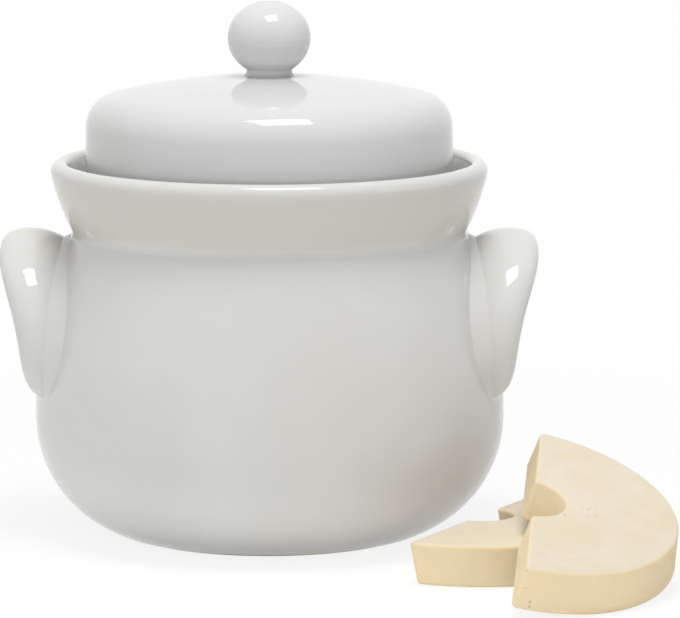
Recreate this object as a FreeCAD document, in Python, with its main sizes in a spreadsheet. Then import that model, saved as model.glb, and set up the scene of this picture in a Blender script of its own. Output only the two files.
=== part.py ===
"""Lidded stoneware preserving crock with a water-lock rim and two weight stones.

The pot is thrown in one piece with its flared collar, water gutter and two
crescent ears.  The lid's skirt stands in the gutter, and the two half-disc
stones that hold the food under the brine lie beside the pot.  Lengths are in
millimetres, the origin is on the floor under the pot's axis, +Z is up and the
ears lie on the X axis.
"""
import FreeCAD, Part
import math
import os

import Sketcher

SIZES = (
    # from the mouth outwards
    ("mouth_radius", 77.0),
    ("mouth_wall", 5.6),
    ("skirt_clearance", 2.8),
    ("lid_wall", 6.2),
    ("channel_extra", 0.6),
    ("collar_wall", 2.7),
    ("belly_swell", 19.0),
    # pot body
    ("belly_height", 56.6),
    ("crease_height", 149.2),
    ("crease_round", 3.5),
    ("low_curve_extra", 3.4),
    ("pot_wall", 7.5),
    ("floor_thickness", 9.0),
    ("foot_inset", 41.7),
    ("foot_ring_width", 10.0),
    ("foot_height", 1.8),
    # collar, lip and water gutter
    ("rim_rise", 35.1),
    ("flare_curve_radius", 134.0),
    ("lip_under_round", 14.0),
    ("lip_under_drop", 3.8),
    ("lip_outer_round", 5.0),
    ("lip_inner_round", 3.4),
    ("collar_slope_drop", 4.6),
    ("gutter_rise", 8.8),
    ("gutter_web", 8.0),
    ("mouth_lip_rise", 19.5),
    ("inner_shoulder_round", 9.0),
    ("mouth_foot_round", 4.0),
    # ears
    ("ear_drop", 54.2),
    ("ear_half_span", 50.0),
    ("ear_rise", 54.7),
    ("ear_thickness", 18.4),
    ("ear_reach", 31.4),
    ("ear_root", 5.2),
    ("ear_crown_rise", 6.4),
    # lid
    ("skirt_draft", 1.0),
    ("skirt_edge_round", 1.6),
    ("shoulder_round", 16.4),
    ("dome_radius", 340.0),
    ("lid_rise", 68.0),
    ("knob_neck_radius", 11.3),
    ("knob_neck_round", 2.6),
    ("knob_neck_height", 3.0),
    ("knob_radius", 20.5),
    ("knob_flatness", 2.0),
    ("knob_cap_extra", 1.5),
    # weight stones
    ("stone_clearance", 2.5),
    ("stone_thickness", 20.2),
    ("stone_draft", 2.7),
    ("notch_radius", 15.4),
    ("stone_corner_extra", 1.2),
    ("stone_edge_round", 1.6),
    # where the stones lie, lengths and degrees
    ("stone_gap", 8.5),
    ("stone_slide", 12.0),
    ("rear_heading", 29.4),
    ("lean_heading", 53.7),
    ("lean_angle", 19.35),
    ("lean_aside", 26.4),
    ("lean_spin", 50.0),
    ("contact_gap", 0.05),
)

# Each ear section: angle round the arch, share of the reach that stands
# proud of the pot, share of the thickness.  The arch is the same both ways.
EAR_SECTIONS = (
    (-33.5, 0.0, 0.26),
    (-26.0, 0.23, 0.64),
    (-5.0, 0.46, 0.94),
    (36.0, 0.81, 1.0),
    (90.0, 1.0, 0.98),
)

doc = FreeCAD.newDocument("preserving_crock")
sheet = doc.addObject("Spreadsheet::Sheet", "Sizes")


class Term:
    """A length held both as a number and as the text of a sheet expression."""

    def __init__(self, number, text):
        self.number = float(number)
        self.text = text

    @staticmethod
    def of(other):
        if isinstance(other, Term):
            return other
        return Term(other, "%.6f" % other)

    def __add__(self, other):
        other = Term.of(other)
        return Term(self.number + other.number, "(%s + %s)" % (self.text, other.text))

    def __sub__(self, other):
        other = Term.of(other)
        return Term(self.number - other.number, "(%s - %s)" % (self.text, other.text))

    def __mul__(self, other):
        other = Term.of(other)
        return Term(self.number * other.number, "(%s * %s)" % (self.text, other.text))

    def __truediv__(self, other):
        other = Term.of(other)
        return Term(self.number / other.number, "(%s / %s)" % (self.text, other.text))

    def __radd__(self, other):
        return Term.of(other) + self

    def __rsub__(self, other):
        return Term.of(other) - self

    def __rmul__(self, other):
        return Term.of(other) * self


def root(term):
    """Square root of a term."""
    return Term(math.sqrt(term.number), "sqrt(%s)" % term.text)


def side(long_side, short_side):
    """The other short side of a right triangle."""
    return root(long_side * long_side - short_side * short_side)


def fill_sheet():
    """Write every size to the sheet and return them as terms by name."""
    terms = {}
    for row, (name, number) in enumerate(SIZES, start=1):
        sheet.set("A%d" % row, name)
        sheet.set("B%d" % row, "%g" % number)
        sheet.setAlias("B%d" % row, name)
        terms[name] = Term(number, "Sizes.%s" % name)
    doc.recompute()
    return terms


S = fill_sheet()
ZERO = Term(0.0, "0")

# What follows from the sizes: the lid's skirt stands in the channel between
# the mouth and the collar, and the pot's wall starts outside that channel.
MOUTH_OUTER = S["mouth_radius"] + S["mouth_wall"]
SKIRT_RADIUS = MOUTH_OUTER + S["skirt_clearance"] + S["lid_wall"]
CHANNEL_RADIUS = SKIRT_RADIUS + S["skirt_clearance"] + S["channel_extra"]
GUTTER_ROUND = S["skirt_clearance"] + S["skirt_edge_round"]
CREASE_RADIUS = CHANNEL_RADIUS + S["collar_wall"]
BELLY_RADIUS = CREASE_RADIUS + S["belly_swell"]
RIM_RADIUS = (CHANNEL_RADIUS + S["collar_slope_drop"]
              + S["lip_inner_round"] + S["lip_outer_round"])
RIM_HEIGHT = S["crease_height"] + S["rim_rise"]
GUTTER_FLOOR = S["crease_height"] + S["gutter_rise"]
SHOULDER_RISE = S["crease_height"] - S["belly_height"]
# the belly's upper curve stands upright at the belly and ends at the crease
SHOULDER_CURVE = ((SHOULDER_RISE * SHOULDER_RISE + S["belly_swell"] * S["belly_swell"])
                  / (S["belly_swell"] * 2))
LOW_CURVE = S["belly_height"] + S["low_curve_extra"]
EAR_CENTRE = S["crease_height"] - S["ear_drop"]
DOME_HEIGHT = GUTTER_FLOOR + S["lid_rise"]
STONE_RADIUS = S["mouth_radius"] - S["stone_clearance"]


def new_body(name):
    """An empty body whose label names its part file."""
    body = doc.addObject("PartDesign::Body", name)
    body.Label = name
    return body


def origin_feature(body, role):
    """The origin plane or axis of a body with this role."""
    for feature in body.Origin.OriginFeatures:
        if feature.Role == role:
            return feature
    raise ValueError("no origin feature " + role)


class Outline:
    """A closed sketch outline of lines and arcs whose corners follow the sheet."""

    def __init__(self, body, name, role):
        self.sketch = body.newObject("Sketcher::SketchObject", name)
        self.sketch.AttachmentSupport = (origin_feature(body, role), "")
        self.sketch.MapMode = "FlatFace"
        self.corners = []
        self.edges = []

    def start(self, across, up):
        """Set the first corner."""
        self.corners.append((Term.of(across), Term.of(up)))
        return self

    def line(self, across, up):
        """Add a straight edge to the next corner."""
        self.corners.append((Term.of(across), Term.of(up)))
        self.edges.append(None)
        return self

    def arc(self, across, up, radius, turn):
        """Add an arc to the next corner; turn is +1 to the left, -1 to the right."""
        self.corners.append((Term.of(across), Term.of(up)))
        self.edges.append((Term.of(radius), turn))
        return self

    def close(self):
        """Add the geometry with its constraints and bind them to the sheet."""
        sketch = self.sketch
        count = len(self.edges)
        ends = []
        for index, edge in enumerate(self.edges):
            a = self.corners[index]
            b = self.corners[(index + 1) % count]
            start = FreeCAD.Vector(a[0].number, a[1].number, 0)
            finish = FreeCAD.Vector(b[0].number, b[1].number, 0)
            if edge is None:
                sketch.addGeometry(Part.LineSegment(start, finish), False)
                ends.append((1, 2))
                continue
            radius, turn = edge
            chord = finish - start
            middle = (start + finish) * 0.5
            rise = math.sqrt(max(radius.number ** 2 - (chord.Length / 2.0) ** 2, 0.0))
            left = FreeCAD.Vector(-chord.y, chord.x, 0).normalize()
            centre = middle + left * rise * turn
            first = math.atan2(start.y - centre.y, start.x - centre.x)
            last = math.atan2(finish.y - centre.y, finish.x - centre.x)
            circle = Part.Circle(centre, FreeCAD.Vector(0, 0, 1), radius.number)
            if turn > 0:
                sketch.addGeometry(Part.ArcOfCircle(circle, first, last), False)
                ends.append((1, 2))
            else:
                sketch.addGeometry(Part.ArcOfCircle(circle, last, first), False)
                ends.append((2, 1))
        for index in range(count):
            other = (index + 1) % count
            sketch.addConstraint(Sketcher.Constraint(
                "Coincident", index, ends[index][1], other, ends[other][0]))
        for index in range(count):
            across, up = self.corners[index]
            place(sketch, index, ends[index][0], across, up)
            if self.edges[index] is not None:
                radius = self.edges[index][0]
                number = sketch.addConstraint(
                    Sketcher.Constraint("Radius", index, radius.number))
                sketch.setExpression("Constraints[%d]" % number, radius.text)
        return sketch


def place(sketch, shape, point, across, up):
    """Hold one point of a sketch at two terms from its origin."""
    for kind, term, axis in (("DistanceX", across, -2), ("DistanceY", up, -1)):
        if term.text == "0":
            sketch.addConstraint(Sketcher.Constraint("PointOnObject", shape, point, axis))
            continue
        number = sketch.addConstraint(
            Sketcher.Constraint(kind, -1, 1, shape, point, term.number))
        sketch.setExpression("Constraints[%d]" % number, term.text)


def revolve(body, sketch, name):
    """Turn an outline once round the body's Z axis."""
    feature = body.newObject("PartDesign::Revolution", name)
    feature.Profile = sketch
    feature.ReferenceAxis = (origin_feature(body, "Z_Axis"), [""])
    feature.Angle = 360.0
    doc.recompute()
    return feature


def shoulder_line(height, radius):
    """Radius of an upper belly curve of this radius at a height."""
    inset = BELLY_RADIUS - SHOULDER_CURVE
    return inset + side(radius, height - S["belly_height"])


def low_line(height):
    """Radius of the pot's lower outside curve at a height."""
    inset = BELLY_RADIUS - LOW_CURVE
    return inset + side(LOW_CURVE, S["belly_height"] - height)


def pot_outline(body):
    """Section of the pot: foot, belly, collar, lip, gutter and mouth."""
    outline = Outline(body, "pot_section", "YZ_Plane")
    foot_outer = BELLY_RADIUS - S["foot_inset"]
    foot_inner = foot_outer - S["foot_ring_width"]
    outline.start(ZERO, S["foot_height"])
    outline.line(foot_inner - S["foot_height"], S["foot_height"])
    outline.line(foot_inner, ZERO)
    outline.line(foot_outer, ZERO)
    outline.line(foot_outer + 0.8, S["foot_height"])
    outline.line(low_line(S["foot_height"]), S["foot_height"])
    outline.arc(BELLY_RADIUS, S["belly_height"], LOW_CURVE, 1)
    outline.arc(CREASE_RADIUS, S["crease_height"], SHOULDER_CURVE, 1)
    under = RIM_RADIUS - S["lip_under_round"]
    under_up = RIM_HEIGHT - S["lip_outer_round"] - S["lip_under_drop"]
    under_across = under + side(S["lip_under_round"], S["lip_under_drop"])
    outline.arc(under_across, under_up, S["flare_curve_radius"], 1)
    outer_up = RIM_HEIGHT - S["lip_outer_round"]
    outline.arc(RIM_RADIUS, outer_up, S["lip_under_round"], 1)
    crest = RIM_RADIUS - S["lip_outer_round"]
    outline.arc(crest, RIM_HEIGHT, S["lip_outer_round"], 1)
    channel = crest - S["lip_inner_round"]
    outline.arc(channel, RIM_HEIGHT - S["lip_inner_round"], S["lip_inner_round"], 1)
    floor = GUTTER_FLOOR
    outline.line(CHANNEL_RADIUS, floor + GUTTER_ROUND)
    outline.arc(CHANNEL_RADIUS - GUTTER_ROUND, floor, GUTTER_ROUND, -1)
    outline.line(MOUTH_OUTER + GUTTER_ROUND, floor)
    outline.arc(MOUTH_OUTER, floor + GUTTER_ROUND, GUTTER_ROUND, -1)
    half_lip = S["mouth_wall"] / 2
    lip_up = floor + S["mouth_lip_rise"]
    outline.line(MOUTH_OUTER, lip_up)
    outline.arc(S["mouth_radius"] + half_lip, lip_up + half_lip, half_lip, 1)
    outline.arc(S["mouth_radius"], lip_up, half_lip, 1)
    ceiling = floor - S["gutter_web"]
    outline.line(S["mouth_radius"], ceiling + S["mouth_foot_round"])
    outline.arc(S["mouth_radius"] + S["mouth_foot_round"], ceiling,
                S["mouth_foot_round"], 1)
    inner_curve = SHOULDER_CURVE - S["pot_wall"]
    turn_up = ceiling - S["inner_shoulder_round"]
    wall_across = shoulder_line(turn_up, inner_curve)
    outline.line(wall_across - S["inner_shoulder_round"], ceiling)
    outline.arc(wall_across, turn_up, S["inner_shoulder_round"] * 1.02, -1)
    inner_belly = BELLY_RADIUS - S["pot_wall"]
    outline.arc(inner_belly, S["belly_height"], inner_curve, -1)
    inside_floor = S["foot_height"] + S["floor_thickness"]
    corner = S["belly_height"] - inside_floor
    outline.arc(inner_belly - corner, inside_floor, corner, -1)
    outline.line(ZERO, inside_floor)
    outline.line(ZERO, S["foot_height"])
    outline.corners.pop()
    return outline.close()


def ear_section(body, name, angle, proud_share, thickness_share):
    """An oval across the ear's arch at an angle from its side."""
    turn = math.radians(angle)
    cosine = math.cos(turn)
    sine = math.sin(turn)
    half = S["ear_thickness"] * (thickness_share / 2)
    wide = S["ear_half_span"] - S["ear_thickness"] / 2
    tall = S["ear_rise"] - S["ear_thickness"] / 2
    spoke = wide * tall / root(tall * tall * (cosine * cosine) + wide * wide * (sine * sine))
    height = EAR_CENTRE + spoke * sine
    pot_radius = shoulder_line(height, SHOULDER_CURVE)
    proud = S["ear_reach"] * proud_share
    depth = (S["ear_root"] + proud) / 2
    middle = pot_radius + (proud - S["ear_root"]) / 2
    aside = spoke * abs(cosine)
    across = side(middle, aside)
    # the oval points away from the pot's axis and rises towards its outer end
    rise = S["ear_crown_rise"] / (S["ear_reach"] + S["ear_root"])
    lean_sine = aside / middle * abs(cosine) + rise * sine
    lean_cosine = side(Term.of(1.0), lean_sine)
    sketch = body.newObject("Sketcher::SketchObject", name)
    sketch.AttachmentSupport = (origin_feature(body, "XY_Plane"), "")
    sketch.MapMode = "FlatFace"
    sketch.AttachmentOffset = FreeCAD.Placement(
        FreeCAD.Vector(0, 0, EAR_CENTRE.number),
        FreeCAD.Rotation(FreeCAD.Vector(1, 0, 0), angle))
    sketch.setExpression("AttachmentOffset.Base.z", EAR_CENTRE.text)
    tip = (across + depth * lean_cosine, spoke + depth * lean_sine)
    flank = (across - half * lean_sine, spoke + half * lean_cosine)
    sketch.addGeometry(Part.Ellipse(
        FreeCAD.Vector(tip[0].number, tip[1].number, 0),
        FreeCAD.Vector(flank[0].number, flank[1].number, 0),
        FreeCAD.Vector(across.number, spoke.number, 0)), False)
    sketch.exposeInternalGeometry(0)
    place(sketch, 0, 3, across, spoke)
    # the major axis is the first inner line, the minor axis the second
    place(sketch, 1, far_end(sketch.Geometry[1], tip), *tip)
    number = sketch.addConstraint(
        Sketcher.Constraint("Distance", 2, 2 * half.number))
    sketch.setExpression("Constraints[%d]" % number, (half * 2).text)
    return sketch


def far_end(line, tip):
    """Which end of a sketch line lies at a point: 1 for its start, 2 for its end."""
    target = FreeCAD.Vector(tip[0].number, tip[1].number, 0)
    if (line.StartPoint - target).Length < (line.EndPoint - target).Length:
        return 1
    return 2


def ring_edges(shape, height):
    """Names of the full circles of a turned shape at a height."""
    names = []
    for number, edge in enumerate(shape.Edges, start=1):
        box = edge.BoundBox
        if abs(box.ZMin - height) < 0.01 and abs(box.ZMax - height) < 0.01:
            names.append("Edge%d" % number)
    return names


def fillet(body, base, names, name, radius):
    """Round some edges of the last feature."""
    rounded = body.newObject("PartDesign::Fillet", name)
    rounded.Base = (base, names)
    rounded.setExpression("Radius", radius.text)
    doc.recompute()
    return rounded


def build_pot():
    """The pot with its collar, gutter and ears."""
    body = new_body("crock_pot")
    turned = revolve(body, pot_outline(body), "pot_turned")
    fillet(body, turned, ring_edges(turned.Shape, S["crease_height"].number),
           "crease_soft", S["crease_round"])
    rows = list(EAR_SECTIONS)
    for angle, proud, thick in reversed(EAR_SECTIONS[:-1]):
        rows.append((180.0 - angle, proud, thick))
    sections = []
    for index, (angle, proud, thick) in enumerate(rows):
        sections.append(ear_section(body, "ear_section_%02d" % index, angle, proud, thick))
    ear = body.newObject("PartDesign::AdditiveLoft", "ear_right")
    ear.Profile = sections[0]
    ear.Sections = sections[1:]
    ear.Ruled = False
    doc.recompute()
    mirror = body.newObject("PartDesign::Mirrored", "ear_left")
    mirror.Originals = [ear]
    mirror.MirrorPlane = (origin_feature(body, "YZ_Plane"), [""])
    body.Tip = mirror
    doc.recompute()
    return body


def dome_line(across, radius):
    """Height of a lid dome of this radius at a distance from the axis."""
    lowest = DOME_HEIGHT - S["dome_radius"]
    return lowest + side(radius, across)


def build_lid():
    """The lid: skirt, rounded shoulder, low dome and ball knob."""
    body = new_body("crock_lid")
    outline = Outline(body, "lid_section", "YZ_Plane")
    seat = GUTTER_FLOOR
    wall = S["lid_wall"]
    inner = S["dome_radius"] - wall
    top_radius = SKIRT_RADIUS - S["skirt_draft"]
    edge = S["skirt_edge_round"]
    neck_foot = S["knob_neck_radius"] + S["knob_neck_round"]
    # the shoulder rounds inside and out share one centre and meet the domes
    # where the line from the dome's centre passes through it
    centre_across = top_radius - S["shoulder_round"]
    reach = S["dome_radius"] - S["shoulder_round"]
    centre_up = DOME_HEIGHT - S["dome_radius"] + side(reach, centre_across)
    shoulder_in = centre_across * S["dome_radius"] / reach
    hollow_in = centre_across * inner / reach
    hollow_round = S["shoulder_round"] - wall
    outline.start(ZERO, dome_line(ZERO, inner))
    outline.arc(hollow_in, dome_line(hollow_in, inner), inner, -1)
    outline.arc(top_radius - wall, centre_up, hollow_round, -1)
    outline.line(SKIRT_RADIUS - wall, seat + edge)
    outline.arc(SKIRT_RADIUS - wall + edge, seat, edge, 1)
    outline.line(SKIRT_RADIUS - edge, seat)
    outline.arc(SKIRT_RADIUS, seat + edge, edge, 1)
    outline.line(top_radius, centre_up)
    outline.arc(shoulder_in, dome_line(shoulder_in, S["dome_radius"]), S["shoulder_round"], 1)
    outline.arc(neck_foot, dome_line(neck_foot, S["dome_radius"]), S["dome_radius"], 1)
    neck_up = dome_line(neck_foot, S["dome_radius"]) + S["knob_neck_round"]
    outline.arc(S["knob_neck_radius"], neck_up, S["knob_neck_round"], -1)
    # the ball is a little flat: its cap and side arcs are tangent to each other
    ball = S["knob_radius"]
    cap = ball + S["knob_cap_extra"]
    half_height = ball - S["knob_flatness"]
    lift = cap - half_height
    neck_top = DOME_HEIGHT + S["knob_neck_height"]
    middle = neck_top - lift + side(cap, S["knob_neck_radius"])
    side_round = (cap * cap - ball * ball - lift * lift) / (2 * (cap - ball))
    offset = ball - side_round
    share = cap / (cap - side_round)
    outline.line(S["knob_neck_radius"], neck_top)
    outline.arc(offset * share, middle + lift - lift * share, cap, 1)
    outline.arc(ball, middle, side_round, 1)
    outline.arc(offset * share, middle - lift + lift * share, side_round, 1)
    outline.arc(ZERO, middle + half_height, cap, 1)
    outline.line(ZERO, dome_line(ZERO, inner))
    outline.corners.pop()
    revolve(body, outline.close(), "lid_turned")
    return body


def slanted_edges(shape, rise):
    """Names of the straight-side edges of a stone that climb at least this far."""
    names = []
    for number, edge in enumerate(shape.Edges, start=1):
        ends = sorted((vertex.Point for vertex in edge.Vertexes), key=lambda end: end.z)
        if ends[-1].z - ends[0].z > rise and abs(ends[0].y) < 0.01:
            names.append("Edge%d" % number)
    return names


def level_edges(shape):
    """Names of the edges that lie level."""
    names = []
    for number, edge in enumerate(shape.Edges, start=1):
        if edge.BoundBox.ZLength < 0.01:
            names.append("Edge%d" % number)
    return names


def build_stone(name, placement):
    """A half-disc weight stone; its sides lean in from the wide face by the draft."""
    body = new_body(name)
    thick = S["stone_thickness"]
    draft = S["stone_draft"]
    disc = Outline(body, name + "_disc_section", "YZ_Plane")
    disc.start(ZERO, ZERO).line(STONE_RADIUS, ZERO).line(STONE_RADIUS - draft, thick)
    disc.line(ZERO, thick).line(ZERO, ZERO)
    disc.corners.pop()
    revolve(body, disc.close(), name + "_disc")
    # the straight side and the notch are cut a millimetre past both faces
    slope = draft / thick
    past = STONE_RADIUS + 5.0
    half = Outline(body, name + "_half_section", "YZ_Plane")
    half.start(ZERO - slope, -1.0).line(draft + slope, thick + 1.0)
    half.line(ZERO - past, thick + 1.0).line(ZERO - past, -1.0).line(ZERO - slope, -1.0)
    half.corners.pop()
    halved = body.newObject("PartDesign::Pocket", name + "_halved")
    halved.Profile = half.close()
    halved.SideType = "Symmetric"
    halved.setExpression("Length", (past * 2).text)
    doc.recompute()
    notch = S["notch_radius"]
    finger = Outline(body, name + "_notch_section", "YZ_Plane")
    finger.start(ZERO, -1.0).line(notch - slope, -1.0)
    finger.line(notch + draft + slope, thick + 1.0)
    finger.line(ZERO, thick + 1.0).line(ZERO, -1.0)
    finger.corners.pop()
    notched = body.newObject("PartDesign::Groove", name + "_notched")
    notched.Profile = finger.close()
    notched.ReferenceAxis = (origin_feature(body, "Z_Axis"), [""])
    notched.Angle = 360.0
    doc.recompute()
    tips = slanted_edges(notched.Shape, thick.number / 2)
    corner = S["stone_edge_round"] + S["stone_corner_extra"]
    corners = fillet(body, notched, tips, name + "_corners", corner)
    fillet(body, corners, level_edges(corners.Shape), name + "_edges", S["stone_edge_round"])
    body.Placement = placement
    doc.recompute()
    return body


def heading(degrees):
    """A level unit vector turned this far clockwise from +X, and its left."""
    turn = math.radians(-degrees)
    ahead = FreeCAD.Vector(math.cos(turn), math.sin(turn), 0)
    return ahead, FreeCAD.Vector(-ahead.y, ahead.x, 0)


def frame(along, deep, up, at):
    """A placement whose axes are three given unit vectors."""
    matrix = FreeCAD.Matrix(
        along.x, deep.x, up.x, at.x,
        along.y, deep.y, up.y, at.y,
        along.z, deep.z, up.z, at.z,
        0, 0, 0, 1)
    return FreeCAD.Placement(matrix)


def flat_stone_place():
    """The stone that lies wide face up, its straight side a gap away from the belly."""
    away, left = heading(S["rear_heading"].number)
    down = FreeCAD.Vector(0, 0, -1)
    centre = away * (BELLY_RADIUS + S["stone_gap"]).number
    centre = centre - left * S["stone_slide"].number - down * S["stone_thickness"].number
    return frame(away.cross(down), away, down, centre)


def leaning_stone_place(flat):
    """The stone that leans: its round edge on the floor, its wide face on the flat one.

    The upper rounding of the flat stone touches the sloping lower face, and the
    lower rounding of the leaning stone touches the floor.  Both roundings run
    along a wide face, where the side leans in by the draft.
    """
    downhill, left = heading(S["lean_heading"].number)
    slope = math.radians(S["lean_angle"].number)
    rounding = S["stone_edge_round"].number
    side_angle = math.atan2(S["stone_thickness"].number, S["stone_draft"].number)
    ring = STONE_RADIUS.number - rounding / math.tan(side_angle / 2)
    up = FreeCAD.Vector(0, 0, 1)
    slide = downhill * math.cos(slope) - up * math.sin(slope)
    normal = downhill * math.sin(slope) + up * math.cos(slope)
    height = rounding + ring * math.sin(slope) - rounding * math.cos(slope)
    under = S["stone_thickness"].number - rounding
    touch = rounding + S["contact_gap"].number
    along = flat.Base.dot(downhill) + ring
    along = along + (touch - (height - under) * math.cos(slope)) / math.sin(slope)
    aside = flat.Base.dot(left) - S["lean_aside"].number
    centre = downhill * along + left * aside + up * height
    spin = math.radians(S["lean_spin"].number)
    deep = slide * math.cos(spin) + normal.cross(slide) * math.sin(spin)
    return frame(deep.cross(normal), deep, normal, centre)


def check(bodies):
    """Stop if any object failed or any body is empty, broken or in pieces."""
    for item in doc.Objects:
        for state in item.State:
            if state in ("Invalid", "Error"):
                raise RuntimeError("%s is %s" % (item.Name, state))
    for body in bodies:
        shape = body.Shape
        if shape.isNull() or not shape.isValid():
            raise RuntimeError(body.Label + " has no valid shape")
        if len(shape.Solids) != 1:
            raise RuntimeError(body.Label + " is %d solids" % len(shape.Solids))
        box = shape.BoundBox
        print("%-20s %9.0f mm3  x %.1f..%.1f  y %.1f..%.1f  z %.1f..%.1f" % (
            body.Label, shape.Volume, box.XMin, box.XMax,
            box.YMin, box.YMax, box.ZMin, box.ZMax))


def main():
    """Build every piece and write its part file."""
    pot = build_pot()
    lid = build_lid()
    flat = flat_stone_place()
    bodies = [
        pot, lid,
        build_stone("weight_stone_rear", flat),
        build_stone("weight_stone_front", leaning_stone_place(flat)),
    ]
    check(bodies)
    os.makedirs("parts", exist_ok=True)
    for body in bodies:
        body.Shape.exportStep("parts/%s.step" % body.Label)


main()
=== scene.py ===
"""Looks of a lidded stoneware preserving crock and its two clay weight stones.

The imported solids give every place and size.  The pot and lid get a glossy
pale glaze, the stones a bare fine clay, and a plain studio lights them.
Lengths are in metres.
"""
import logging
import math
from dataclasses import dataclass, field
from enum import Enum

import bpy
from mathutils import Euler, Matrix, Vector
from mathutils.bvhtree import BVHTree


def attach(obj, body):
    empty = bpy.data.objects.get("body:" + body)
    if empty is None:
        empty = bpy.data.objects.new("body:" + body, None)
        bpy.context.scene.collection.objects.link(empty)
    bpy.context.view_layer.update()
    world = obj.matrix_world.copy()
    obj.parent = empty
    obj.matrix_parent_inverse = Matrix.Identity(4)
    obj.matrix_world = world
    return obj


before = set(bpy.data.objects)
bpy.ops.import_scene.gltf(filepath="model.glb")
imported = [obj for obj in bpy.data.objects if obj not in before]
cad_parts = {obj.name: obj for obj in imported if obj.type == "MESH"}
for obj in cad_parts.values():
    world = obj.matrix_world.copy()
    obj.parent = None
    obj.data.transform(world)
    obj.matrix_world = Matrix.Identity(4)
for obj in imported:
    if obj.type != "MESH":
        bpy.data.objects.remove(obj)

LOG = logging.getLogger("crock")
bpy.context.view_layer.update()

Colour = tuple[float, float, float]
Span = tuple[float, float]
# The corners of one face and the smooth normals there.
Corners = tuple[list[Vector], list[Vector]]
# A ball's centre, the normals of wall and ear where it touches them, its radius.
Ball = tuple[Vector, Vector, Vector, float]

WHITE: Colour = (1.0, 1.0, 1.0)


def linear(red: int, green: int, blue: int) -> Colour:
    """Turn a colour written as 0-255 display values into linear light.

    Args:
        red: The red display value.
        green: The green display value.
        blue: The blue display value.

    Returns:
        The same colour in linear light.
    """
    toe, slope, offset, power = 0.04045, 12.92, 0.055, 2.4
    values = []
    for part in (red, green, blue):
        share = part / 255
        values.append(share / slope if share <= toe else ((share + offset) / (1 + offset)) ** power)
    return (values[0], values[1], values[2])


def smooth_step(value: float, low: float, high: float) -> float:
    """Rise smoothly from 0 where the value is low to 1 where it is high."""
    share = min(max((value - low) / (high - low), 0.0), 1.0)
    return share * share * (3 - 2 * share)


def corner_normals(mesh: bpy.types.Mesh) -> dict[int, Vector]:
    """Read the smooth normal that each vertex is shaded with.

    Args:
        mesh: The mesh to read.

    Returns:
        The normals by vertex number.
    """
    normals: dict[int, Vector] = {}
    for loop in mesh.loops:
        if loop.vertex_index not in normals:
            normals[loop.vertex_index] = Vector(mesh.corner_normals[loop.index].vector)
    return normals


def dress(piece: bpy.types.Object, material: bpy.types.Material) -> None:
    """Give every slot of a piece one material.

    Args:
        piece: The object to dress.
        material: Its material.
    """
    if not piece.material_slots:
        piece.data.materials.append(material)
    for slot in piece.material_slots:
        slot.material = material


@dataclass(frozen=True)
class Grain:
    """One scale of unevenness in a surface.

    Attributes:
        waves: Waves per metre, before any stretch.
        detail: The number of finer layers.
        rough: The strength of the finer layers.
        bend: How far the pattern is bent.
        stretch: The factor along each axis, or None for an even pattern.
    """

    waves: float
    detail: float = 2.0
    rough: float = 0.5
    bend: float = 0.0
    stretch: tuple[float, float, float] | None = None


@dataclass(frozen=True)
class Relief:
    """How far a pattern stands out of a surface.

    Attributes:
        reach: The height of the pattern's 1, in metres.
        strength: How much of the effect is kept.
    """

    reach: float
    strength: float


class Wire:
    """One output of a node; sums and products of wires add Math nodes."""

    def __init__(self, shader: "Shader", socket: bpy.types.NodeSocket) -> None:
        """Keep the socket and the shader that it belongs to."""
        self.shader = shader
        self.socket = socket

    def math(self, operation: str, *others: "Wire | float", turned: bool = False) -> "Wire":
        """Join this wire with others through a Math node.

        Args:
            operation: The Math node's operation.
            others: The values or wires that follow this one.
            turned: Put this wire last, for a reflected operator.

        Returns:
            The node's result.
        """
        values = [self, *others]
        if turned:
            values.reverse()
        node = self.shader.node("ShaderNodeMath", {"operation": operation}, dict(enumerate(values)))
        return self.shader.wire(node)

    def __add__(self, other: "Wire | float") -> "Wire":
        """Sum with a wire or number."""
        return self.math("ADD", other)

    def __radd__(self, other: float) -> "Wire":
        """Sum with a number on the left."""
        return self.math("ADD", other, turned=True)

    def __sub__(self, other: "Wire | float") -> "Wire":
        """Take a wire or number away."""
        return self.math("SUBTRACT", other)

    def __rsub__(self, other: float) -> "Wire":
        """Take this wire away from a number."""
        return self.math("SUBTRACT", other, turned=True)

    def __mul__(self, other: "Wire | float") -> "Wire":
        """Multiply by a wire or number."""
        return self.math("MULTIPLY", other)

    def __rmul__(self, other: float) -> "Wire":
        """Multiply a number by this wire."""
        return self.math("MULTIPLY", other, turned=True)

    def ramp(self, low: float, high: float) -> "Wire":
        """Rise smoothly from 0 at one value to 1 at another.

        Args:
            low: The value that gives 0.
            high: The value that gives 1.

        Returns:
            The smooth step.
        """
        node = self.shader.node(
            "ShaderNodeMapRange", {"interpolation_type": "SMOOTHSTEP", "clamp": True},
            {"Value": self, "From Min": low, "From Max": high, "To Min": 0.0, "To Max": 1.0})
        return self.shader.wire(node, "Result")


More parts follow.
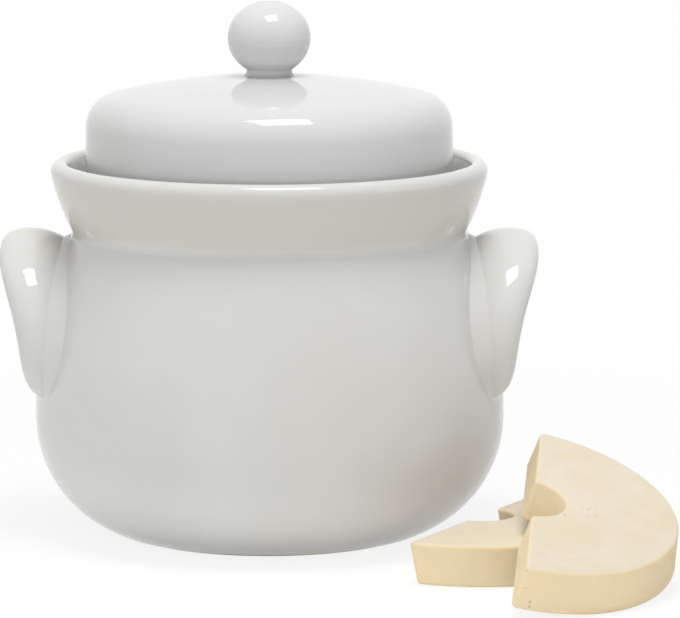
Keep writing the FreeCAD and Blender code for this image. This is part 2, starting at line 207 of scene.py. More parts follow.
class Shader:
    """A node tree that is filled from Python expressions."""

    def __init__(self, tree: bpy.types.NodeTree) -> None:
        """Start with an empty tree."""
        self.tree = tree
        self.tree.nodes.clear()

    def node(self, kind: str, settings: dict[str, object] | None = None,
             sockets: dict[str | int, object] | None = None) -> bpy.types.Node:
        """Add a node.

        Args:
            kind: The node's type name.
            settings: Properties of the node, which are set first.
            sockets: Values or wires for its inputs, by name or number.

        Returns:
            The new node.
        """
        made = self.tree.nodes.new(kind)
        for name, value in (settings or {}).items():
            setattr(made, name, value)
        for name, value in (sockets or {}).items():
            if isinstance(value, Wire):
                self.tree.links.new(value.socket, made.inputs[name])
            elif made.inputs[name].type == "RGBA":
                made.inputs[name].default_value = (*value, 1.0)
            else:
                made.inputs[name].default_value = value
        return made

    def wire(self, node: bpy.types.Node, name: str | int = 0) -> Wire:
        """Take an output of a node as a wire."""
        return Wire(self, node.outputs[name])

    def end(self, kind: str, surface: bpy.types.Node) -> None:
        """End the tree in an output node that shows this surface."""
        self.node(kind, sockets={"Surface": self.wire(surface)})

    def place(self) -> Wire:
        """The place on the object, in metres."""
        return self.wire(self.node("ShaderNodeTexCoord"), "Object")

    def height(self) -> Wire:
        """The height above the floor, in metres."""
        return self.wire(self.node("ShaderNodeSeparateXYZ", sockets={0: self.place()}), "Z")

    def noise(self, grain: Grain) -> Wire:
        """Add solid noise.

        Args:
            grain: The scale and character of the noise.

        Returns:
            The noise from 0 to 1.
        """
        place = self.place()
        if grain.stretch is not None:
            stretched = self.node("ShaderNodeVectorMath", {"operation": "MULTIPLY"},
                                  {0: place, 1: grain.stretch})
            place = self.wire(stretched, "Vector")
        node = self.node("ShaderNodeTexNoise", sockets={
            "Vector": place, "Scale": grain.waves, "Detail": grain.detail,
            "Roughness": grain.rough, "Distortion": grain.bend})
        return self.wire(node)

    def mix(self, share: Wire, first: Wire | Colour, second: Wire | Colour) -> Wire:
        """Mix two colours.

        Args:
            share: How much of the second colour.
            first: The colour at share 0.
            second: The colour at share 1.

        Returns:
            The mixed colour.
        """
        factor, colour_a, colour_b, result = 0, 6, 7, 2
        node = self.node("ShaderNodeMix", {"data_type": "RGBA"},
                         {factor: share, colour_a: first, colour_b: second})
        return self.wire(node, result)

    def bump(self, height: Wire, relief: Relief, under: Wire | None = None) -> Wire:
        """Raise a surface.

        Args:
            height: The height from 0 to 1.
            relief: How far it stands out.
            under: Another bump's normal that this one is laid on.

        Returns:
            The changed normal.
        """
        sockets: dict[str | int, object] = {
            "Height": height, "Distance": relief.reach, "Strength": relief.strength}
        if under is not None:
            sockets["Normal"] = under
        return self.wire(self.node("ShaderNodeBump", sockets=sockets), "Normal")

    def seen_directly(self) -> Wire:
        """Tell what is seen directly, in a gloss or through glass.

        Returns:
            1 for such a look, and 0 for light on its way to another surface.
        """
        path = self.node("ShaderNodeLightPath")
        seen = self.wire(path, "Is Camera Ray").math("MAXIMUM", self.wire(path, "Is Glossy Ray"))
        return seen.math("MAXIMUM", self.wire(path, "Is Transmission Ray"))


def new_material(name: str) -> tuple[bpy.types.Material, Shader]:
    """Make an empty node material.

    Args:
        name: The material's name.

    Returns:
        The material and the shader that fills it.
    """
    material = bpy.data.materials.new(name)
    material.use_nodes = True
    return material, Shader(material.node_tree)


@dataclass(frozen=True)
class GlazeFinish:
    """A glossy, slightly milky stoneware glaze, with painted shade above one height.

    Attributes:
        name: The material's name.
        colour: The glaze where it lies evenly.
        warm: The glaze where it pools and runs.
        flare_shade: A darker, warmer colour painted over the flare as shade, where the flare faces
            down and gets less light.
        flare_shade_above: The height at which the painted shade starts.
        flare_shade_edge: Half the depth of the soft lower edge of the painted shade.
        flare_shade_waver: How far that edge wanders up and down.
        lit_lip: Where the painted shade fades out again on the lip's top, above flare_shade_above.
        lit_lip_cover: How much of the painted shade it takes away there.
        pooling: The slow clouds of pooled glaze.
        pool_span: The part of the clouds over which it turns warm.
        runs: The upright runs.
        run_span: The part of the runs that shows.
        run_cover: How strongly they show.
        specks: The fine specks.
        speck_span: The part of that grain that makes a speck.
        speck_cover: How strongly they show.
        speck: The specks' colour.
        bare: The unglazed foot's colour.
        foot_top: The height of the unglazed foot.
        foot_edge: The depth of its soft edge.
        foot_waver: How far that edge wanders up and down.
        foot_rough: How much rougher the foot is.
        roughness: The glaze's mean roughness.
        sheen: The unevenness of the gloss.
        sheen_swing: How far the roughness varies.
        bending: How strongly the glaze bends light.
        reliefs: The soft waves, the throwing rings and the fine skin, laid on each other.
    """

    name: str
    colour: Colour
    warm: Colour
    flare_shade: Colour
    flare_shade_above: float
    flare_shade_edge: float = 0.004
    flare_shade_waver: float = 0.006
    lit_lip: Span = (0.024, 0.030)
    lit_lip_cover: float = 0.7
    pooling: Grain = Grain(9.0, 3.0, 0.55, 0.6)
    pool_span: Span = (0.35, 0.7)
    runs: Grain = Grain(1.0, 3.0, stretch=(70.0, 70.0, 5.0))
    run_span: Span = (0.50, 0.74)
    run_cover: float = 0.22
    specks: Grain = Grain(900.0, 1.0, 0.4)
    speck_span: Span = (0.70, 0.80)
    speck_cover: float = 0.14
    speck: Colour = linear(178, 172, 158)
    bare: Colour = linear(214, 204, 184)
    foot_top: float = 0.0017
    foot_edge: float = 0.0003
    foot_waver: float = 0.0006
    foot_rough: float = 0.6
    roughness: float = 0.05
    sheen: Grain = Grain(60.0)
    sheen_swing: float = 0.03
    bending: float = 1.50
    reliefs: tuple[tuple[Grain, Relief], ...] = (
        (Grain(42.0, 2.0, 0.45), Relief(0.0006, 0.20)),
        (Grain(1.0, stretch=(6.0, 6.0, 210.0)), Relief(0.0003, 0.10)),
        (Grain(520.0), Relief(0.00008, 0.10)))

    def build(self) -> bpy.types.Material:
        """Make the material.

        Returns:
            The glaze material.
        """
        material, shader = new_material(self.name)
        height = shader.height()
        cloud = shader.noise(self.pooling)
        foot = 1 - (height + (cloud - 0.5) * self.foot_waver).ramp(
            self.foot_top - self.foot_edge, self.foot_top)
        base = shader.mix(cloud.ramp(*self.pool_span), self.colour, self.warm)
        # Painted shade: above one height the flare, which faces down and gets less light, is painted
        # darker and warmer.
        base = shader.mix(self._flare_shaded(height + (cloud - 0.5) * self.flare_shade_waver), base, self.flare_shade)
        runs = shader.noise(self.runs).ramp(*self.run_span)
        base = shader.mix(runs * self.run_cover, base, self.warm)
        specks = shader.noise(self.specks).ramp(*self.speck_span)
        base = shader.mix(specks * self.speck_cover, base, self.speck)
        base = shader.mix(foot, base, self.bare)
        smoothest = self.roughness - self.sheen_swing / 2
        roughness = shader.noise(self.sheen) * self.sheen_swing + smoothest + foot * self.foot_rough
        normal = None
        for grain, relief in self.reliefs:
            normal = shader.bump(shader.noise(grain), relief, normal)
        surface = shader.node("ShaderNodeBsdfPrincipled", sockets={
            "Base Color": base, "Roughness": roughness, "Normal": normal, "IOR": self.bending})
        shader.end("ShaderNodeOutputMaterial", surface)
        return material

    def _flare_shaded(self, level: Wire) -> Wire:
        """Tell how much painted shade lies on the glaze.

        Args:
            level: The wavering height.

        Returns:
            1 where the painted shade is full, 0 where there is none.
        """
        flare_shade = level.ramp(self.flare_shade_above - self.flare_shade_edge, self.flare_shade_above + self.flare_shade_edge)
        # The painted shade fades out again on the lip's top, which the lamps light well.
        start, end = self.lit_lip
        lit_lip_share = level.ramp(self.flare_shade_above + start, self.flare_shade_above + end)
        return flare_shade * (1 - lit_lip_share * self.lit_lip_cover)


@dataclass(frozen=True)
class Pores:
    """Round pores of one size in bare clay.

    Attributes:
        cells: Cells per metre, with one pore in each.
        reach: The radius of a pore, as a share of its cell.
        cover: How strongly its colour shows.
        core: The share of the radius that is fully dark.
    """

    cells: float
    reach: float
    cover: float
    core: float = 0.6

    def build(self, shader: Shader) -> Wire:
        """Scatter the pores.

        Args:
            shader: The shader to add to.

        Returns:
            1 in a pore, else 0.
        """
        cells = shader.node("ShaderNodeTexVoronoi", {"feature": "F1"}, {
            "Vector": shader.place(), "Scale": self.cells, "Randomness": 1.0})
        return 1 - shader.wire(cells, "Distance").ramp(self.reach * self.core, self.reach)


@dataclass(frozen=True)
class ClayFinish:
    """A bare, fine and matt fired clay, pale where it was smoothed and buff at its sides, with
    painted light brightening the sides and a painted highlight along the edges.

    Attributes:
        name: The material's name.
        colour: The clay's own colour.
        pale: The smoothed clay.
        buff_and_lit_side: The buff clay of the sides, brightened as painted light because the lamps
            light the sides less, and the clay of the coarser grains.
        edge_highlight: A yellower colour painted along the rounded edges as a highlight.
        pit: The clay in the pores.
        cloud: The slow clouds on the flat faces.
        cloud_span: The part of the clouds over which they turn pale.
        streak: The streaks on the sides.
        streak_span: The part of the streaks that shows.
        streak_cover: How strongly they show.
        flat_span: How squarely a place has to face the axis to count as a flat face.
        flat_waver: How far that border wanders.
        edge_highlight_start: Where the painted highlight band starts, from side to face.
        edge_highlight_end: Where it ends.
        edge_highlight_cover: How strongly it shows.
        grain: The fine grain.
        grain_span: The part of the grain that shows.
        grain_cover: How strongly it shows.
        patch: The patches that have pores.
        patch_span: The part of that pattern that makes a patch.
        pores: The fine pores.
        marks: The few larger ones.
        roughness: The clay's mean roughness.
        rough_swing: How far the roughness varies.
        bending: How strongly the clay bends light.
        shine: Its faint shine.
        ridges: The soft unevenness of the pressed clay.
        ridge_relief: How far that stands out.
        grain_relief: How far the grain stands out.
        pore_relief: How deep the pores are.
    """

    name: str
    colour: Colour
    pale: Colour
    buff_and_lit_side: Colour
    edge_highlight: Colour
    pit: Colour
    cloud: Grain = Grain(34.0, 4.0, 0.62, 0.5)
    cloud_span: Span = (0.36, 0.66)
    streak: Grain = Grain(16.0, 5.0, 0.66, 1.2)
    streak_span: Span = (0.30, 0.72)
    streak_cover: float = 0.55
    flat_span: Span = (0.86, 0.985)
    flat_waver: float = 0.10
    edge_highlight_start: Span = (0.30, 0.62)
    edge_highlight_end: Span = (0.80, 0.97)
    edge_highlight_cover: float = 0.42
    grain: Grain = Grain(1500.0, 3.0, 0.6)
    grain_span: Span = (0.58, 0.74)
    grain_cover: float = 0.28
    patch: Grain = Grain(30.0)
    patch_span: Span = (0.63, 0.69)
    pores: Pores = Pores(260.0, 0.16, 0.45)
    marks: Pores = Pores(62.0, 0.085, 0.85)
    roughness: float = 0.84
    rough_swing: float = 0.12
    bending: float = 1.45
    shine: float = 0.30
    ridges: Grain = Grain(95.0, 4.0, 0.6, 0.8)
    ridge_relief: Relief = Relief(0.0006, 0.30)
    grain_relief: Relief = Relief(0.00025, 0.55)
    pore_relief: Relief = Relief(0.0005, 0.6)

    def build(self, axis: Vector) -> bpy.types.Material:
        """Make the material for one stone.

        Args:
            axis: The direction that the stone's flat faces look in.

        Returns:
            The clay material.
        """
        material, shader = new_material(self.name)
        flat = self._flatness(shader, axis)
        cloud = shader.noise(self.cloud)
        face = shader.mix(cloud.ramp(*self.cloud_span), self.colour, self.pale)
        streak = shader.noise(self.streak).ramp(*self.streak_span)
        # The sides get their own buff colour, made brighter as painted light because the lamps light
        # them less than the flat faces.
        buff_and_lit_side = shader.mix(streak * self.streak_cover, self.buff_and_lit_side, self.colour)
        base = shader.mix((flat + (cloud - 0.5) * self.flat_waver).ramp(*self.flat_span), buff_and_lit_side, face)
        # Painted highlight: a yellower band along the rounded edges, between side and face.
        edge_highlight_band = flat.ramp(*self.edge_highlight_start) * (1 - flat.ramp(*self.edge_highlight_end))
        base = shader.mix(edge_highlight_band * self.edge_highlight_cover, base, self.edge_highlight)
        grain = shader.noise(self.grain)
        base = shader.mix(grain.ramp(*self.grain_span) * self.grain_cover, base, self.buff_and_lit_side)
        patch = shader.noise(self.patch).ramp(*self.patch_span)
        pores = self.pores.build(shader) * patch
        marks = self.marks.build(shader) * patch
        base = shader.mix(pores * self.pores.cover, base, self.pit)
        base = shader.mix(marks * self.marks.cover, base, self.pit)
        normal = shader.bump(shader.noise(self.ridges), self.ridge_relief)
        normal = shader.bump(grain, self.grain_relief, normal)
        normal = shader.bump(1 - pores, self.pore_relief, normal)
        smoothest = self.roughness - self.rough_swing / 2
        surface = shader.node("ShaderNodeBsdfPrincipled", sockets={
            "Base Color": base, "Roughness": grain * self.rough_swing + smoothest,
            "Normal": normal, "IOR": self.bending, "Specular IOR Level": self.shine})
        shader.end("ShaderNodeOutputMaterial", surface)
        return material

    @staticmethod
    def _flatness(shader: Shader, axis: Vector) -> Wire:
        """Tell a stone's flat faces from its sides.

        Args:
            shader: The shader to add to.
            axis: The direction that the flat faces look in.

        Returns:
            1 on a flat face, 0 on a side, and between them on a rounded edge.
        """
        normal = shader.wire(shader.node("ShaderNodeTexCoord"), "Normal")
        facing = shader.node("ShaderNodeVectorMath", {"operation": "DOT_PRODUCT"},
                             {0: normal, 1: tuple(axis)})
        return shader.wire(facing, "Value").math("ABSOLUTE")


@dataclass
class WallOutline:
    """The outside of the turned pot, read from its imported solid.

    Attributes:
        pot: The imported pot.
        ear_inner_reach: No place on an ear is nearer to the pot's middle than this.
        low: The lowest height that is read.
        high: The highest height that is read.
        window: Rings within this height of each other are compared.
        wall_share: A ring further inside than this belongs to the inner wall.
        search: How far above or below a place its nearest wall is looked for.
        digits: The places after the point at which two rings count as one.
        points: The radius and height of each ring, with the normal there.
        ears: The vertex numbers of each ear.
    """

    pot: bpy.types.Object
    ear_inner_reach: float = 0.09
    low: float = 0.058
    high: float = 0.165
    window: float = 0.003
    wall_share: float = 0.004
    search: float = 0.015
    digits: int = 5
    points: list[tuple[Vector, Vector]] = field(default_factory=list)
    ears: list[set[int]] = field(default_factory=list)

    def build(self) -> None:
        """Tell the ears from the turned wall and read the wall's outline."""
        mesh = self.pot.data
        self.ears = [part for part in self._parts(mesh)
                     if min(abs(mesh.vertices[i].co.x) for i in part) > self.ear_inner_reach]
        in_ears = set().union(*self.ears)
        normals = corner_normals(mesh)
        rings: dict[tuple[float, float], tuple[Vector, Vector]] = {}
        for vertex in mesh.vertices:
            height = vertex.co.z
            if vertex.index in in_ears or not self.low < height < self.high:
                continue
            radius = math.hypot(vertex.co.x, vertex.co.y)
            normal = normals[vertex.index]
            outward = (normal.x * vertex.co.x + normal.y * vertex.co.y) / radius
            rings[(round(height, self.digits), round(radius, self.digits))] = (
                Vector((radius, height)), Vector((outward, normal.z)).normalized())
        for spot, normal in sorted(rings.values(), key=lambda pair: pair[0].y):
            outermost = max(other.x for other, _ in rings.values()
                            if abs(other.y - spot.y) < self.window)
            if spot.x > outermost - self.wall_share and normal.x > 0:
                self.points.append((spot, normal))

    @staticmethod
    def _parts(mesh: bpy.types.Mesh) -> list[set[int]]:
        """Split a mesh into its connected patches.

        Args:
            mesh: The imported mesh, where each CAD face is a patch of its own.

        Returns:
            The vertex numbers of each patch.
        """
        above = list(range(len(mesh.vertices)))

        def top(number: int) -> int:
            """Find the patch that a vertex belongs to.

            Args:
                number: The vertex number.

            Returns:
                The vertex number that stands for the patch.
            """
            while above[number] != number:
                above[number] = above[above[number]]
                number = above[number]
            return number

        for edge in mesh.edges:
            first, second = top(edge.vertices[0]), top(edge.vertices[1])
            if first != second:
                above[first] = second
        patches: dict[int, set[int]] = {}
        for vertex in mesh.vertices:
            patches.setdefault(top(vertex.index), set()).add(vertex.index)
        return list(patches.values())

    def nearest(self, place: Vector) -> tuple[Vector, Vector]:
        """Find the nearest place on the turned wall.

        Args:
            place: A place in space.

        Returns:
            The place on the wall and the wall's normal there.
        """
        flat = Vector((math.hypot(place.x, place.y), place.z))
        best = (math.inf, Vector(), Vector())
        for (start, first), (end, second) in zip(self.points, self.points[1:]):
            along = end - start
            if along.length_squared == 0 or abs(start.y - flat.y) > self.search:
                continue
            share = min(max((flat - start).dot(along) / along.length_squared, 0.0), 1.0)
            spot = start + along * share
            gap = (flat - spot).length
            if gap < best[0]:
                best = (gap, spot, first.lerp(second, share).normalized())
        round_x, round_y = place.x / flat.x, place.y / flat.x
        _, spot, normal = best
        return (Vector((spot.x * round_x, spot.x * round_y, spot.y)),
                Vector((normal.x * round_x, normal.x * round_y, normal.y)))


@dataclass
class EarJoin:
    """The hollow round of slip that blends one ear into the pot.

    A ball rolls along the crease between ear and wall, and the hollow follows
    the places where it touches both.

    Attributes:
        name: The start of the piece's name.
        pot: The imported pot.
        wall: The pot's outline.
        ear: The vertex numbers of the ear.
        material: The glaze.
        side_round: The ball's radius halfway up the ear.
        end_round: Its radius at the ear's two ends.
        widening: The heights between which the ball grows.
        narrowing: The heights between which it shrinks again.
        hug: How far the hollow keeps to its corner: 0 is straight across, 1 the corner.
        row_step: The distance from row to row along the crease.
        arc_steps: The number of steps across the hollow.
        depth: How far the join's back lies inside wall and ear.
        proud: How far its edges stand out of them.
        passes: How often the ball is settled.
        smoothing: How often the rows are evened out.
        least_room: The least squared sine between both normals that a step is divided by.
        least_area: The least squared size of a face that its shares are divided by.
    """

    name: str
    pot: bpy.types.Object
    wall: WallOutline
    ear: set[int]
    material: bpy.types.Material
    side_round: float = 0.0088
    end_round: float = 0.0028
    widening: Span = (0.070, 0.094)
    narrowing: Span = (0.106, 0.147)
    hug: float = 0.57
    row_step: float = 0.0012
    arc_steps: int = 12
    depth: float = 0.0006
    proud: float = 0.00002
    passes: int = 14
    smoothing: int = 6
    least_room: float = 0.02
    least_area: float = 1e-18

    def build(self) -> bpy.types.Object:
        """Roll the ball along the crease and skin the hollow that it leaves.

        Returns:
            The join's closed mesh.
        """
        tree, corners = self._ear_surface()
        balls = [self._settle(place, tree, corners) for place in self._crease()]
        for _ in range(self.smoothing):
            balls = self._even(balls)
        return self._skin(balls)

    def _ear_surface(self) -> tuple[BVHTree, list[Corners]]:
        """Gather the ear's faces.

        Returns:
            A search tree of the faces, and each face's corners and normals.
        """
        mesh = self.pot.data
        shaded = corner_normals(mesh)
        places, polygons, corners = [], [], []
        for face in mesh.polygons:
            if face.vertices[0] in self.ear:
                spots = [mesh.vertices[i].co.copy() for i in face.vertices]
                polygons.append(tuple(range(len(places), len(places) + len(spots))))
                corners.append((spots, [shaded[i] for i in face.vertices]))
                places += spots
        return BVHTree.FromPolygons(places, polygons), corners

    def _crease(self) -> list[Vector]:
        """Walk along the border of the ear's face in even steps.

        Returns:
            Places along the crease, all the way round.
        """
        line = self._border()
        length = sum((b - a).length for a, b in zip(line, line[1:]))
        count = round(length / self.row_step)
        places, walked, target = [], 0.0, 0.0
        for first, second in zip(line, line[1:]):
            step = (second - first).length
            while target < walked + step and len(places) < count:
                places.append(first.lerp(second, (target - walked) / step))
                target += length / count
            walked += step
        return places

    def _border(self) -> list[Vector]:
        """Follow the edges that only one face of the ear uses.

        Returns:
            Their places in order, with the first one again at the end.
        """
        mesh = self.pot.data
        uses: dict[tuple[int, int], int] = {}
        for face in mesh.polygons:
            if face.vertices[0] in self.ear:
                for edge in face.edge_keys:
                    uses[edge] = uses.get(edge, 0) + 1
        beside: dict[int, list[int]] = {}
        for (first, second), count in uses.items():
            if count == 1:
                beside.setdefault(first, []).append(second)
                beside.setdefault(second, []).append(first)
        start = min(beside)
        order, last, here = [start], start, beside[start][0]
        while here != start:
            order.append(here)
            last, here = here, next(i for i in beside[here] if i != last)
        return [mesh.vertices[i].co.copy() for i in [*order, start]]

    def _on_ear(self, place: Vector, tree: BVHTree, corners: list[Corners]) -> tuple[Vector, Vector]:
        """Find the nearest place on the ear.

        Args:
            place: A place in space.
            tree: The ear's search tree.
            corners: Each face's corners and normals.

        Returns:
            The place on the ear and the ear's smooth normal there.
        """
        spot, _, index, _ = tree.find_nearest(place)
        (a, b, c), (na, nb, nc) = (part[:3] for part in corners[index])
        whole = (b - a).cross(c - a)
        area = max(whole.length_squared, self.least_area)
        share_a = (b - spot).cross(c - spot).dot(whole) / area
        share_b = (c - spot).cross(a - spot).dot(whole) / area
        normal = na * share_a + nb * share_b + nc * (1 - share_a - share_b)
        return spot, normal.normalized()

    def _settle(self, place: Vector, tree: BVHTree, corners: list[Corners]) -> Ball:
        """Settle the ball where it touches both the wall and the ear.

        Args:
            place: The place on the crease beside which the ball lies.
            tree: The ear's search tree.
            corners: Each face's corners and normals.

        Returns:
            The settled ball.
        """
        share = smooth_step(place.z, *self.widening) * (1 - smooth_step(place.z, *self.narrowing))
        radius = self.end_round + (self.side_round - self.end_round) * share
        _, on_wall = self.wall.nearest(place)
        _, on_ear = self._on_ear(place, tree, corners)
        centre = place + (on_wall + on_ear).normalized() * radius
        for _ in range(self.passes):
            wall_spot, on_wall = self.wall.nearest(centre)
            ear_spot, on_ear = self._on_ear(centre, tree, corners)
            wall_short = radius - (centre - wall_spot).dot(on_wall)
            ear_short = radius - (centre - ear_spot).dot(on_ear)
            both = on_wall.dot(on_ear)
            room = max(1 - both * both, self.least_room)
            centre = (centre + on_wall * ((wall_short - both * ear_short) / room)
                      + on_ear * ((ear_short - both * wall_short) / room))
        return centre, on_wall, on_ear, radius

    @staticmethod
    def _even(balls: list[Ball]) -> list[Ball]:
        """Even out the balls with their neighbours round the ring.

        Args:
            balls: The balls in order.

        Returns:
            The evened balls, each a quarter of both neighbours and half of itself.
        """
        before, after = balls[-1:] + balls[:-1], balls[1:] + balls[:1]
        return [tuple((last + here * 2 + coming) / 4 for last, here, coming in zip(*three))
                for three in zip(before, balls, after)]

    def _hollow(self, centre: Vector, on_wall: Vector, on_ear: Vector,
                radius: float) -> list[tuple[Vector, Vector]]:
        """Draw the hollow across the join, tightest in its middle.

        Args:
            centre: The ball's centre.
            on_wall: The wall's normal where the ball touches it.
            on_ear: The ear's normal where the ball touches it.
            radius: The ball's radius.

        Returns:
            Places from the wall to the ear, each with its normal.
        """
        reach = radius - self.proud
        start, end = centre - on_wall * reach, centre - on_ear * reach
        corner = centre - (on_wall + on_ear) * (reach / (1 + on_wall.dot(on_ear)))
        first, second = start.lerp(corner, self.hug), end.lerp(corner, self.hug)
        line = []
        for step in range(self.arc_steps + 1):
            t = step / self.arc_steps
            rest = 1 - t
            spot = (start * rest ** 3 + first * (3 * rest * rest * t)
                    + second * (3 * rest * t * t) + end * t ** 3)
            along = ((first - start) * rest * rest + (second - first) * (2 * rest * t)
                     + (end - second) * t * t).normalized()
            out = centre - spot
            line.append((spot, (out - along * out.dot(along)).normalized()))
        return line

    def _skin(self, balls: list[Ball]) -> bpy.types.Object:
        """Skin the rows with a closed ring of faces.

        Args:
            balls: The settled balls.

        Returns:
            The finished object.
        """
        places, normals = [], []
        for centre, on_wall, on_ear, radius in balls:
            on_wall, on_ear = on_wall.normalized(), on_ear.normalized()
            for place, normal in self._hollow(centre, on_wall, on_ear, radius):
                places.append(place)
                normals.append(normal)
            for normal in (on_ear, on_wall):
                places.append(centre - normal * (radius + self.depth))
                normals.append(-normal)
        name = f"{self.name}_{'right' if places[0].x > 0 else 'left'}"
        mesh = bpy.data.meshes.new(name)
        mesh.from_pydata(places, [], self._faces(len(balls)))
        middle = self.arc_steps // 2
        if mesh.polygons[middle].normal.dot(normals[middle]) < 0:
            mesh.flip_normals()
        mesh.update()
        self._shade(mesh, normals)
        piece = bpy.data.objects.new(name, mesh)
        bpy.context.collection.objects.link(piece)
        dress(piece, self.material)
        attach(piece, "root")
        return piece

    @property
    def _width(self) -> int:
        """The number of places in a row: the hollow's, and two at its back."""
        return self.arc_steps + 3

    def _faces(self, rows: int) -> list[tuple[int, int, int, int]]:
        """Join each row with the next one, all the way round.

        Args:
            rows: The number of rows.

        Returns:
            The four place numbers of each face.
        """
        width = self._width
        faces = []
        for row in range(rows):
            after = (row + 1) % rows
            for step in range(width):
                beside = (step + 1) % width
                faces.append((row * width + step, row * width + beside,
                              after * width + beside, after * width + step))
        return faces

    def _shade(self, mesh: bpy.types.Mesh, normals: list[Vector]) -> None:
        """Shade the hollow smoothly into wall and ear, and its back flat.

        Args:
            mesh: The join's mesh.
            normals: The normal at each place.
        """
        split = []
        for polygon in mesh.polygons:
            polygon.use_smooth = True
            hollow = all(i % self._width <= self.arc_steps for i in polygon.vertices)
            for loop in polygon.loop_indices:
                vertex = mesh.loops[loop].vertex_index
                split.append(normals[vertex] if hollow else polygon.normal)
        mesh.normals_split_custom_set(split)


@dataclass
class Crock:
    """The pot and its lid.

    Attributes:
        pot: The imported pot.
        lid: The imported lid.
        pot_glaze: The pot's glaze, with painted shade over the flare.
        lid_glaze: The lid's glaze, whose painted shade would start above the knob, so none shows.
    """

    pot: bpy.types.Object
    lid: bpy.types.Object
    pot_glaze: GlazeFinish = GlazeFinish(
        "pot_glaze", colour=linear(209, 209, 207), warm=linear(205, 204, 200),
        # Painted shade over the downward-facing flare, above 0.151 m.
        flare_shade=linear(202, 199, 191), flare_shade_above=0.151)
    lid_glaze: GlazeFinish = GlazeFinish(
        "lid_glaze", colour=linear(206, 206, 207), warm=linear(203, 203, 203),
        flare_shade=linear(206, 206, 207), flare_shade_above=0.3)

    def build(self) -> list[bpy.types.Object]:
        """Dress both pieces and lay the joins of the ears.

        Returns:
            The pot, the lid and the joins.
        """
        pot_glaze = self.pot_glaze.build()
        dress(self.pot, pot_glaze)
        dress(self.lid, self.lid_glaze.build())
        wall = WallOutline(self.pot)
        wall.build()
        joins = [EarJoin("ear_join", self.pot, wall, ear, pot_glaze) for ear in wall.ears]
        return [self.pot, self.lid, *(join.build() for join in joins)]


@dataclass
class WeightStones:
    """The two half-disc stones beside the pot.

    Attributes:
        stones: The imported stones.
        clay: Their clay.
        digits: The places after the point at which two faces count as looking the same way.
    """

    stones: list[bpy.types.Object]
    clay: ClayFinish = ClayFinish(
        "stone_clay", colour=linear(221, 208, 183), pale=linear(224, 214, 196),
        # The edges carry a yellower painted highlight.
        # The sides' colour is buff and brightened with painted light.
        buff_and_lit_side=linear(239, 218, 179), edge_highlight=linear(232, 209, 164), pit=linear(122, 92, 56))
    digits: int = 2

    def build(self) -> list[bpy.types.Object]:
        """Dress the stones and keep them out of the glaze's reflections.

        Returns:
            The dressed stones.
        """
        for stone in self.stones:
            dress(stone, self.clay.build(self._axis(stone)))
            stone.visible_glossy = False
        return self.stones

    def _axis(self, stone: bpy.types.Object) -> Vector:
        """Find which way a stone's flat faces look.

        Args:
            stone: The stone.

        Returns:
            The normal that most of its surface shares.
        """
        areas: dict[tuple[float, ...], float] = {}
        for polygon in stone.data.polygons:
            key = tuple(round(part, self.digits) for part in polygon.normal)
            areas[key] = areas.get(key, 0.0) + polygon.area
        return Vector(max(areas, key=areas.get)).normalized()


class LampKind(Enum):
    """Whether a lamp shows in the glaze."""

    BARE = "bare"
    VEILED = "veiled"


@dataclass
class Lamp:
    """A flat rectangular studio lamp that points at the crock.

    Attributes:
        name: The lamp's name.
        kind: Whether it shows in the glaze.
        turn: Where it hangs round the crock, in degrees from the front to the right.
        height: How high it hangs, in degrees above level.
        distance: How far it hangs from what it points at.
        width: Its size across.
        depth: Its size upwards.
        power: Its strength in watts.
        colour: Its colour in linear light.
        aim: What it points at.
    """

    name: str
    kind: LampKind
    turn: float
    height: float
    distance: float
    width: float
    depth: float
    power: float
    colour: Colour = WHITE
    aim: tuple[float, float, float] = (0.0, 0.0, 0.12)

    def build(self) -> bpy.types.Object:
        """Hang the lamp.

        Returns:
            The lamp object.
        """
        light = bpy.data.lights.new(self.name, "AREA")
        light.shape = "RECTANGLE"
        light.size = self.width
        light.size_y = self.depth
        light.energy = self.power
        light.color = self.colour
        lamp = bpy.data.objects.new(self.name, light)
        turn = math.radians(self.turn)
        height = math.radians(self.height)
        away = Vector((math.sin(turn) * math.cos(height), -math.cos(turn) * math.cos(height),
                       math.sin(height)))
        lamp.location = Vector(self.aim) + away * self.distance
        lamp.rotation_euler = (-away).to_track_quat("-Z", "Y").to_euler()
        lamp.visible_glossy = self.kind is LampKind.BARE
        bpy.context.collection.objects.link(lamp)
        return lamp


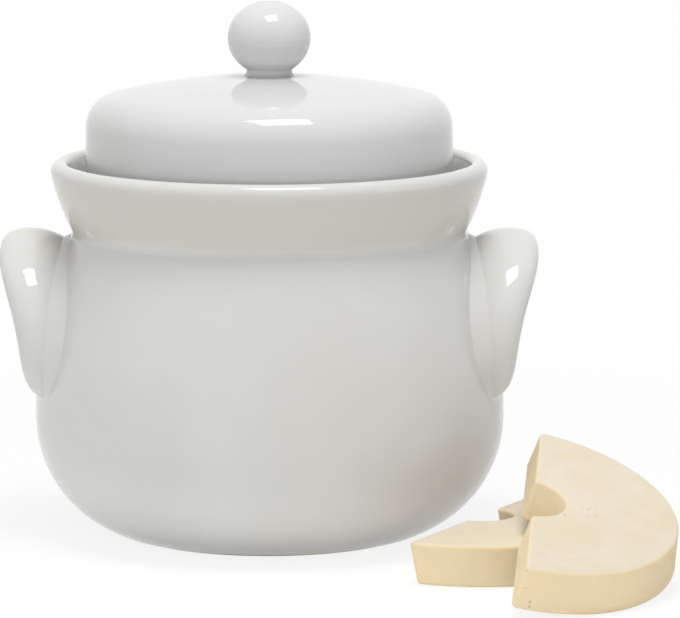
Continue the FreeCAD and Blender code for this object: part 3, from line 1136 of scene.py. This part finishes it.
@dataclass
class Studio:
    """Floor, lamps, sky and camera.

    Attributes:
        floor_reach: Half the width of the floor.
        floor_drop: How far the floor lies below the crock, so that they don't meet.
        paper: The floor's colour.
        white_near: How white the floor looks near the crock: 0 is its own colour, 1 is white.
        white_more: How much whiter it looks far away.
        white_span: The distances between which it turns whiter.
        sky_strength: The strength of the soft light from all round.
        camera_place: Where the camera stands.
        camera_tilt: How far it is tilted up from looking straight down, in degrees.
        camera_lens: Its focal length in millimetres.
        camera_film: The width of its film in millimetres.
        lamps: The lamps.
    """

    floor_reach: float = 6.0
    floor_drop: float = 0.0005
    paper: Colour = linear(246, 246, 245)
    white_near: float = 0.86
    white_more: float = 0.13
    white_span: Span = (0.25, 0.65)
    sky_strength: float = 0.225
    camera_place: tuple[float, float, float] = (0.0349, -2.0, 0.4196)
    camera_tilt: float = 81.18
    camera_lens: float = 215.4
    camera_film: float = 36.0
    lamps: list[Lamp] = field(default_factory=lambda: [
        Lamp("main_lamp", LampKind.BARE, turn=20.0, height=75.0, distance=1.5,
             width=0.58, depth=0.50, power=10.4),
        Lamp("top_lamp", LampKind.VEILED, turn=0.0, height=88.0, distance=1.5,
             width=1.3, depth=1.3, power=11.5),
        Lamp("front_lamp", LampKind.VEILED, turn=-8.0, height=22.0, distance=2.4,
             width=2.0, depth=1.2, power=5.2),
        Lamp("right_lamp", LampKind.VEILED, turn=80.0, height=14.0, distance=1.8,
             width=1.3, depth=1.1, power=2.2, colour=(0.95, 0.98, 1.0)),
        Lamp("left_lamp", LampKind.VEILED, turn=-92.0, height=12.0, distance=1.6,
             width=1.2, depth=1.0, power=4.2, colour=(1.0, 0.985, 0.94)),
        Lamp("low_lamp", LampKind.VEILED, turn=0.0, height=2.5, distance=2.6,
             width=2.8, depth=0.5, power=15.0),
    ])

    def build(self) -> None:
        """Set up the whole studio."""
        self._floor()
        self._sky()
        for lamp in self.lamps:
            lamp.build()
        self._camera()

    def _floor(self) -> None:
        """Lay a plain pale floor that still takes the crock's shadow."""
        reach = self.floor_reach
        mesh = bpy.data.meshes.new("floor")
        mesh.from_pydata([(-reach, -reach, 0), (reach, -reach, 0), (reach, reach, 0),
                          (-reach, reach, 0)], [], [(0, 1, 2, 3)])
        floor = bpy.data.objects.new("floor", mesh)
        floor.location.z = -self.floor_drop
        bpy.context.collection.objects.link(floor)
        material, shader = new_material("floor_paper")
        paper = shader.node("ShaderNodeBsdfDiffuse", sockets={"Color": self.paper})
        white = shader.node("ShaderNodeEmission", sockets={"Color": WHITE})
        away = shader.node("ShaderNodeVectorMath", {"operation": "LENGTH"}, {0: shader.place()})
        share = shader.wire(away, "Value").ramp(*self.white_span) * self.white_more + self.white_near
        mixed = shader.node("ShaderNodeMixShader", sockets={
            0: shader.seen_directly() * share, 1: shader.wire(paper), 2: shader.wire(white)})
        shader.end("ShaderNodeOutputMaterial", mixed)
        dress(floor, material)

    def _sky(self) -> None:
        """Fill the studio with soft light that looks white behind the crock."""
        world = bpy.data.worlds.new("studio")
        world.use_nodes = True
        bpy.context.scene.world = world
        shader = Shader(world.node_tree)
        soft = shader.node("ShaderNodeBackground", sockets={
            "Color": WHITE, "Strength": self.sky_strength})
        white = shader.node("ShaderNodeBackground", sockets={"Color": WHITE, "Strength": 1.0})
        mixed = shader.node("ShaderNodeMixShader", sockets={
            0: shader.seen_directly(), 1: shader.wire(soft), 2: shader.wire(white)})
        shader.end("ShaderNodeOutputWorld", mixed)

    def _camera(self) -> None:
        """Place the camera."""
        lens = bpy.data.cameras.new("camera")
        lens.sensor_width = self.camera_film
        lens.lens = self.camera_lens
        camera = bpy.data.objects.new("camera", lens)
        camera.location = self.camera_place
        camera.rotation_euler = Euler((math.radians(self.camera_tilt), 0.0, 0.0))
        bpy.context.collection.objects.link(camera)
        bpy.context.scene.camera = camera


def main() -> None:
    """Build every part of the scene in order."""
    logging.basicConfig(level=logging.INFO, format="%(name)s: %(message)s")
    bpy.context.scene.view_settings.view_transform = "Standard"
    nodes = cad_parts
    Studio().build()
    parts = Crock(nodes["crock_pot"], nodes["crock_lid"]).build()
    parts += WeightStones([nodes["weight_stone_rear"], nodes["weight_stone_front"]]).build()
    for piece in parts:
        LOG.info("%s: %d faces", piece.name, len(piece.data.polygons))


if __name__ == "__main__":
    main()
